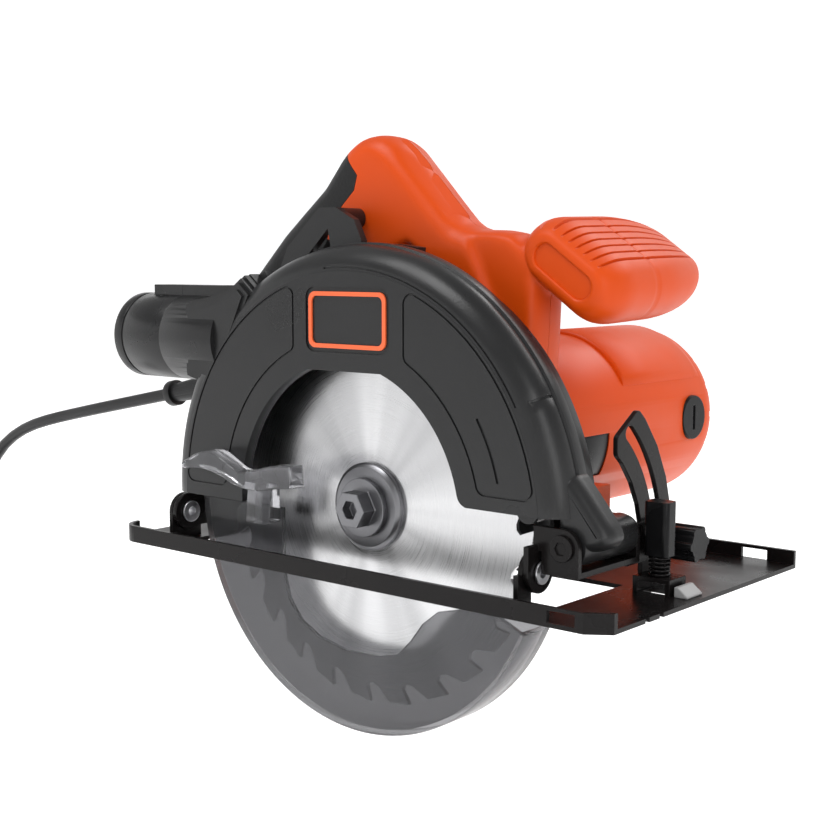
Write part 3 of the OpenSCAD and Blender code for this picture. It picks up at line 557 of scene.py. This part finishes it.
def rod(name, radius, low, high, x=0.0, z=0.0, sides=64):
    """A cylinder along Y."""
    ring = [(x + radius * math.cos(k * math.tau / sides),
             z + radius * math.sin(k * math.tau / sides)) for k in range(sides)]
    return solid(name, [flat_ring(ring, low), flat_ring(ring, high)])


def finish(piece, body, slot, *nodes, smooth_to=35):
    """Sets a piece's material, the body it rides on and the CAD nodes it stands for."""
    piece.data.materials.clear()
    piece.data.materials.append(MATERIALS[slot])
    piece.data.shade_smooth()
    piece.data.set_sharp_from_angle(angle=math.radians(smooth_to))
    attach(piece, body)
    if nodes:
        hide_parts(*nodes)
    return piece


# ---- side handle ----

# Millimetres: the handle's section is a stadium, with sides of half length SIDE_HALF and ends of
# radius SIDE_R. It keeps its size up to SIDE_END from the blade and tapers over SIDE_TAPER.
SIDE_TILT = math.radians(35)
SIDE_HALF = 14
SIDE_R = 16
SIDE_END = 75
SIDE_TAPER = 62
SIDE_SEAM = 67
# The grooves' places round the section, as in oval_ring, and their half width there and depth
GROOVES = [3.72, 3.93, 0.1, 0.28, 0.46, 0.64, 0.82, 1.0]
GROOVE_WIDTH, GROOVE_DEPTH = 0.017, 1.3


def side_point(y, along, across):
    """A point of the side handle's section: along its long axis and across it."""
    x = 89.7 - 0.05 * y + along * math.cos(SIDE_TILT) + across * math.sin(SIDE_TILT)
    z = 110 + 0.03 * y - along * math.sin(SIDE_TILT) + across * math.cos(SIDE_TILT)
    return at(x, y, z)


def oval_ring(y, half, radius, turns, depths=None):
    """A stadium at distance y. turns are places round it from 0 to 4, 1 for each side or end."""
    ring = []
    for i, turn in enumerate(turns):
        part, share = int(turn) % 4, turn - int(turn)
        depth = depths[i] if depths else 0
        if part % 2 == 0:
            side = 1 if part == 0 else -1
            along, across = side * half * (2 * share - 1), side * (radius - depth)
        else:
            side = 1 if part == 1 else -1
            angle = math.pi * (0.5 - share) if part == 1 else math.pi * (-0.5 - share)
            along = side * half + (radius - depth) * math.cos(angle)
            across = (radius - depth) * math.sin(angle)
        ring.append(side_point(y, along, across))
    return ring


def side_profile():
    """Rings of the side handle from its near end to its tip: (y, half length, radius)."""
    near = [(27.0, 2.2, 7.6), (27.3, 1.7, 6.7), (28.2, 1.3, 5.6), (29.5, 1, 4.6), (31, 0.8, 3.8),
            (33, 0.5, 2.8), (36, 0.3, 1.7), (39.5, 0.1, 0.7), (43, 0, 0.2), (47, 0, 0)]
    rings = [(y, SIDE_HALF - a, SIDE_R - b) for y, a, b in near]
    rings += [(49 + 2 * k, SIDE_HALF, SIDE_R) for k in range(13)]
    for k in range(1, 25):
        turn = math.radians(3.6 * k)
        scale = math.cos(turn) ** 0.8
        rings.append((SIDE_END + SIDE_TAPER * math.sin(turn), SIDE_HALF * scale, SIDE_R * scale))
    return rings


def make_side_handle():
    """The side handle, with grooves along its top that fade out near both ends."""
    turns = [(k / 24, 0.0) for k in range(96)]
    for place in GROOVES:
        turns = [t for t in turns if abs((t[0] - place + 2) % 4 - 2) > 1.6 * GROOVE_WIDTH]
        turns += [((place + step * GROOVE_WIDTH) % 4, cut) for step, cut in
                  [(-1.5, 0), (-0.6, 1), (0.6, 1), (1.5, 0)]]
    turns.sort()
    places = [t for t, cut in turns]
    rings = [oval_ring(29.2, 10.8, 4.8, places), oval_ring(29, 11.3, 5.5, places),
             oval_ring(27.3, 11.5, 5.9, places), oval_ring(26.9, 11.6, 6.4, places),
             oval_ring(26.8, 11.7, 7.2, places)]
    for y, half, radius in side_profile():
        fade = ease((y - 29) / 4) * ease((SIDE_END + SIDE_TAPER - 9 - y) / 12)
        step = 0.5 if abs(y - SIDE_SEAM) < 0.4 else 0.0
        depths = [GROOVE_DEPTH * cut * fade + step for t, cut in turns]
        rings.append(oval_ring(y, half, radius, places, depths))
    return solid("side_handle_shell", rings, 28)


# ---- main handle ----

HANDLE_Y = (23.5, 57.5)
SEAM_Y = 40.5
HANDLE_OUTLINE = [(71, 62), (72.5, 81), (73.5, 104), (71.5, 115), (66, 123), (59, 128),
                  (50, 129.6), (37, 130), (29, 132.5), (16, 145), (4, 158), (-5, 167), (-11, 172),
                  (-17, 175.5), (-24, 177), (-30, 176.6), (-35, 175), (-41, 171.5), (-46, 167),
                  (-58, 153), (-72, 142), (-87, 130), (-110, 108), (-128, 88), (-141, 68),
                  (-146, 55), (-146, 38), (-138, 31), (-80, 31), (-26, 31), (-20, 60), (0, 60),
                  (30, 50), (50, 60)]
HANDLE_OPENING = [(-95, 70), (-91, 66), (-60, 64.5), (-28, 66), (-19, 69), (-6, 78.5), (8, 81),
                  (20, 84), (23, 88), (20, 98), (13, 111), (6, 119.5), (0, 123.5), (-8, 119.5),
                  (-22, 116), (-43, 115), (-60, 103), (-84, 82)]
# The rear of the handle, which is black, from its top edge down
GRIP_ZONE = [(-49, 178), (-36, 163), (-31, 157), (-33, 150), (-44.5, 139.6), (-50, 132),
             (-52, 124), (-48, 112), (-20, 62), (-22, 20), (-200, 20), (-200, 178)]
# The hollow on the far side of the bridge between the two handles
BRIDGE_HOLLOW = [(31, 140), (37, 124), (47, 104), (54, 90), (58, 60), (100, 60), (100, 140)]
# The motor's axis, and the radius of the space for it in the handle
MOTOR = (17.81, 30.85)
MOTOR_SPACE = 46.75
# Points down the handle's front slope, with how far the facets there are lifted off; the slope's
# outward direction, and how far a facet falls for each millimetre from the seam
SLOPE = [((-26, 184), 9), ((-13, 173.5), 2), ((-3, 165), 0), ((25, 136), 0), ((29, 132), 2),
         ((36, 125), 9)]
SLOPE_OUT = (0.707, 0.707)
FACET = 0.33
# A point on the grip's inner edge, and the edge's slope
GRIP_EDGE = Vector((-62, 102))
GRIP_SLOPE = math.radians(40.9)
TRIGGER_PIN = (-51.3, 121.1)
SCREWS = [(-132, 48), (-96, 47), (-30, 152), (42, 112), (-56, 46)]
SCREW_HOLE = 3.5
# The size of the cells that merge the handle's form, and how often it is smoothed
CELL = 1.15
SMOOTHINGS = 28


def rim_layers(low, high, reach, flare=1):
    """Layers that round both rims of a solid, with a radius of about reach."""
    shares = [(0.0, 0.62), (0.12, 0.36), (0.35, 0.14), (0.65, 0.04), (1.0, 0.0)]
    near = [(low + reach * a, flare * reach * b) for a, b in shares]
    return near + [(low + high - y, d) for y, d in reversed(near)]


def grip_block(name, low, high, y0, y1):
    """A block drawn on the grip's inner edge: along the edge, and outward from the grip."""
    corners = [(low[0], low[1]), (high[0], low[1]), (high[0], high[1]), (low[0], high[1])]
    outline = []
    for u, v in corners:
        turned = Vector((u * math.cos(GRIP_SLOPE) + v * math.sin(GRIP_SLOPE),
                         u * math.sin(GRIP_SLOPE) - v * math.cos(GRIP_SLOPE)))
        outline.append(tuple(GRIP_EDGE + turned))
    return solid(name, [flat_ring(outline, y0), flat_ring(outline, y1)])


# How far each half stops short of the seam
SEAM_GAP = 0.14


def split_at_seam(piece, side):
    """Keeps the near side (-1) or the far side (1) of the seam plane, with a closed cut."""
    mesh = bmesh.new()
    mesh.from_mesh(piece.data)
    bmesh.ops.bisect_plane(mesh, geom=[*mesh.verts, *mesh.edges, *mesh.faces], dist=1e-7,
                           plane_co=at(0, SEAM_Y + side * SEAM_GAP, 0), plane_no=(0, side, 0),
                           clear_inner=True)
    rim = [edge for edge in mesh.edges if edge.is_boundary]
    bmesh.ops.holes_fill(mesh, edges=rim, sides=0)
    mesh.to_mesh(piece.data)
    mesh.free()


def slope_cutter(side):
    """Cuts one side of the handle's front slope to a facet that falls away from the seam."""
    rings = []
    for (x, z), rise in SLOPE:
        ring = [(0, 1.2), (20, 1.2 - 20 * FACET), (20, 14), (0, 14)]
        rings.append([at(x + SLOPE_OUT[0] * (up + rise), SEAM_Y + side * y,
                         z + SLOPE_OUT[1] * (up + rise)) for y, up in ring])
    return solid("slope_cutter", rings)


def make_handle():
    """The handle's soft outer form, merged with the root of the side handle and smoothed."""
    form = layered("handle_form", HANDLE_OUTLINE, rim_layers(*HANDLE_Y, 14))
    opening = layered("opening", HANDLE_OPENING,
                      rim_layers(HANDLE_Y[0] - 0.4, HANDLE_Y[1] + 0.4, 11, flare=-0.35))
    combine(form, opening, "DIFFERENCE")
    hollow = layered("bridge_hollow", BRIDGE_HOLLOW, [(10, 0), (27.5, 0)])
    combine(form, hollow, "DIFFERENCE")
    for side in (-1, 1):
        combine(form, slope_cutter(side), "DIFFERENCE")
    core_turns = [k / 16 for k in range(64)]
    core = solid("core", [oval_ring(y, half, radius - 1.2, core_turns)
                          for y, half, radius in side_profile()[2:-6]])
    combine(form, core, "UNION")
    remesh = form.modifiers.new("remesh", "REMESH")
    remesh.mode = "VOXEL"
    remesh.voxel_size = CELL * MM
    rounding = form.modifiers.new("rounding", "SMOOTH")
    rounding.factor = 0.5
    rounding.iterations = SMOOTHINGS
    shaped(form)
    pocket_low, pocket_high = SEAM_Y - 10, SEAM_Y + 10.5
    for cutter in [rod("motor_bore", MOTOR_SPACE, 20, 62, *MOTOR, sides=128),
                   grip_block("trigger_pocket", (-22, -22), (22, 14), SEAM_Y - 7.5, SEAM_Y + 7.5),
                   grip_block("switch_pocket", (-22, -33.5), (20, -21), pocket_low, pocket_high),
                   rod("pin_hole", 2.3, pocket_low, pocket_high, *TRIGGER_PIN, 24)]:
        combine(form, cutter, "DIFFERENCE")
    return form


handle_form = make_handle()
grip_zone = layered("grip_zone", GRIP_ZONE, [(10, 0), (70, 0)])
body_zone = layered("body_zone", GRIP_ZONE, [(10, -0.3), (70, -0.3)])
rear_grip = combine(copy_of(handle_form, "rear_grip"), grip_zone, "INTERSECT")
shell = combine(handle_form, body_zone, "DIFFERENCE")
finish(rear_grip, "saw_body", "grip_rubber", "grip_pad")
for side, name, node in [(-1, "handle_shell_left", "handle_left"),
                         (1, "handle_shell_right", "handle_right")]:
    half = copy_of(shell, name)
    split_at_seam(half, side)
    for x, z in SCREWS if side == 1 else []:
        hole = rod("screw_hole", SCREW_HOLE, HANDLE_Y[1] - 3, HANDLE_Y[1] + 2, x, z, 32)
        combine(half, hole, "DIFFERENCE")
    finish(half, "saw_body", "orange_plastic", node)
discard(shell)
finish(make_side_handle(), "saw_body", "orange_plastic", "side_handle", smooth_to=28)

# The dark strip along the top of the hand opening
LINER = [(-46, 117), (-22, 118), (-9, 121.5), (0, 125.5), (3, 123.5), (-7, 117.5), (-22, 113.6),
         (-44, 112.6)]
liner = layered("opening_liner", LINER, rim_layers(29, 52, 2))
finish(liner, "saw_body", "grip_rubber")

# The raised pad's two stretches on the front slope, from the top down
PAD_TOP = [(-15, 174.6), (-9, 170.4), (-3, 165), (3, 159)]
PAD_LOW = [(4.6, 157.4), (12, 149.6), (19, 142.4), (26, 135.4)]
PAD_HALF = 12.5


def top_pad(name, outline, side):
    """Half of one stretch of the raised pad, on one side of the seam."""
    path = smooth_path([Vector((x, 0, z)) for x, z in outline], 5)
    last = len(path) - 1
    rings = []
    for i, here in enumerate(path):
        along = (path[min(i + 1, last)] - path[max(i - 1, 0)]).normalized()
        out = Vector((-along.z, 0, along.x)) * (1 if along.x > 0 else -1)
        end = min(i, last - i, 2)
        lift = (0.2, 0.8, 1.0)[end]
        rim = PAD_HALF - (1.6, 0.4, 0.0)[end]
        ring = []
        for y, up in [(rim, -4), (rim, lift - 1), (rim - 0.9, lift), (0.16, lift), (0.16, -4)]:
            place = here + out * (up - FACET * y)
            ring.append(at(place.x, SEAM_Y + side * y, place.z))
        rings.append(ring)
    return solid(name, rings, 20)


for name, outline in [("top", PAD_TOP), ("low", PAD_LOW)]:
    for side, place in [(-1, "left"), (1, "right")]:
        pad = top_pad(f"slope_pad_{name}_{place}", outline, side)
        finish(pad, "saw_body", "orange_plastic", smooth_to=20)


# ---- lower guard's lever ----

# The ribbon's upper edge from its tip inward, and its lower edge back to the tip
LEVER_TOP = [(-100.5, 15), (-88, 21), (-77, 22.5), (-68, 19), (-59, 15), (-48, 16), (-36, 19),
             (-23, 20)]
LEVER_FOOT = [(-22, 9.5), (-34, 8), (-46, 6), (-60, 7), (-72, 11), (-86, 13), (-99, 12)]


def make_lever():
    """The wavy ribbon of the lever and the block that joins it to the lower guard."""
    outline = []
    for run in (LEVER_TOP, LEVER_FOOT):
        outline += [(p.x, p.z) for p in smooth_path([Vector((x, 0, z)) for x, z in run], 4)]
    ribbon = layered("lever_ribbon", outline, rim_layers(-33, -22.5, 2))
    post = layered("lever_post", [(-62, -11.9), (-50, -11.9), (-50, 9), (-60, 9)],
                   rim_layers(-24.5, -12, 1.2))
    return combine(ribbon, post, "UNION")


finish(make_lever(), "lower_guard_unit", "smoke_clear", "retract_lever", smooth_to=40)


# ---- guard's foot ----

FOOT_OUTER = [(120, -3.6), (128, -3.7), (133, -2.8), (137, -0.8), (139.4, 2.8), (138.4, 6.4),
              (135, 11), (129.8, 17.3), (125, 23), (121, 27.4)]
# Where the foot meets the shoulder, how far its rim rounds in and how far it stands out, and
# where it starts
FOOT_INNER = 113.5
FOOT_ROUND, FOOT_REACH = 5.2, 8.2
FOOT_Y = -4.4


def make_foot():
    """The smooth skin over the foot at the lower end of the guard's shoulder.

    It has no hole for the front pivot pin, which passes through it.
    """
    outer = [(p.x, p.z) for p in smooth_path([Vector((x, 0, z)) for x, z in FOOT_OUTER], 3)]
    outline = [(FOOT_INNER, -3.4), *outer, (FOOT_INNER, 28.2)]
    steps = 12
    layers = []
    for i in range(steps + 1):
        back = math.sin(math.pi / 2 * i / steps)
        layers.append((FOOT_Y - FOOT_REACH * math.cos(math.pi / 2 * i / steps),
                       FOOT_ROUND * (1 - back) - 0.15))
    return layered("guard_foot", outline, layers + [(-0.1, -0.15)])


finish(make_foot(), "saw_body", "guard_black", smooth_to=50)


# ---- motor cowl ----

# From where to where along the motor and round it, in millimetres and degrees, and the radius
# of the housing under it
COWL_Y = (125, 203)
COWL_LOW = 27
COWL_HIGH = 112
HOUSING_R = 46.5


def make_cowl():
    """The slightly raised skin over the top of the motor housing, from the seam to its far end."""
    rings = []
    steps = 40
    for i in range(steps + 1):
        turn = math.radians(COWL_LOW + (COWL_HIGH - COWL_LOW) * i / steps)
        end = min(i, steps - i, 3)
        lift = (0.1, 1.3, 1.9, 2.1)[end]
        ring = []
        for y, up in [(COWL_Y[0], -0.4), (COWL_Y[0], 0.6 * lift), (COWL_Y[0] + 0.8, lift),
                      (COWL_Y[0] + 30, lift), (COWL_Y[1] - 6, lift), (COWL_Y[1] - 2, 0.5 * lift),
                      (COWL_Y[1], 0.05), (COWL_Y[1], -0.4)]:
            reach = HOUSING_R + up
            ring.append(at(MOTOR[0] + reach * math.cos(turn), y,
                           MOTOR[1] + reach * math.sin(turn)))
        rings.append(ring)
    return solid("motor_cowl", rings, 50)


finish(make_cowl(), "saw_body", "orange_plastic", smooth_to=50)


# ---- studio ----

def make_floor():
    """A wide pale dish, flat under the saw and curving up far away, so that no edge shows."""
    rings = []
    for r, up in [(0.02, 0), (1, 0), (2.5, 0), (4, 0.03), (5, 0.15), (6, 0.5), (6.7, 1.1),
                  (7.2, 2.0), (7.5, 3.2)]:
        rings.append([Vector((r * math.cos(a * math.pi / 48), r * math.sin(a * math.pi / 48),
                              FLOOR_Z + up)) for a in range(96)])
    points, faces = loft(rings, closed_ends=False)
    faces.append(tuple(range(96)))
    floor = mesh_piece("studio_floor", points, faces, 60)
    material, tree, shader = new_material("studio_pale")
    grain = noise(tree, coordinates(tree), 3.0, 4.0)
    tree.links.new(mix(tree, grain, (0.9, 0.9, 0.9, 1), (0.94, 0.94, 0.94, 1)),
                   shader.inputs["Base Color"])
    shader.inputs["Roughness"].default_value = 0.9
    shader.inputs["Emission Color"].default_value = (1, 1, 1, 1)
    shader.inputs["Emission Strength"].default_value = 0.5
    floor.data.materials.append(material)


def area_light(name, place, size, power):
    """A rectangle of light at a place given in metres from the hub, which it faces."""
    data = bpy.data.lights.new(name, "AREA")
    data.shape = "RECTANGLE"
    data.size, data.size_y = size
    data.energy = power
    light = add_object(name, data)
    light.location = HUB + Vector(place)
    light.rotation_euler = (-Vector(place)).to_track_quat("-Z", "Y").to_euler()


# Each light's name, place and size in metres, and power in watts; then the sky's strength
LIGHTS = [("key", (-0.5, -0.9, 2.0), (1.1, 1.1), 27), ("fill", (1.9, -0.9, 0.9), (0.8, 1.6), 12),
          ("back", (0.4, 1.6, 1.6), (1.6, 0.8), 18)]
SKY = 0.4


def make_light():
    world = bpy.data.worlds.new("studio")
    bpy.context.scene.world = world
    world.use_nodes = True
    sky = world.node_tree.nodes["Background"]
    sky.inputs["Color"].default_value = (1, 1, 1, 1)
    sky.inputs["Strength"].default_value = SKY
    for light in LIGHTS:
        area_light(*light)
    bpy.context.scene.view_settings.view_transform = "Standard"


make_floor()
make_light()
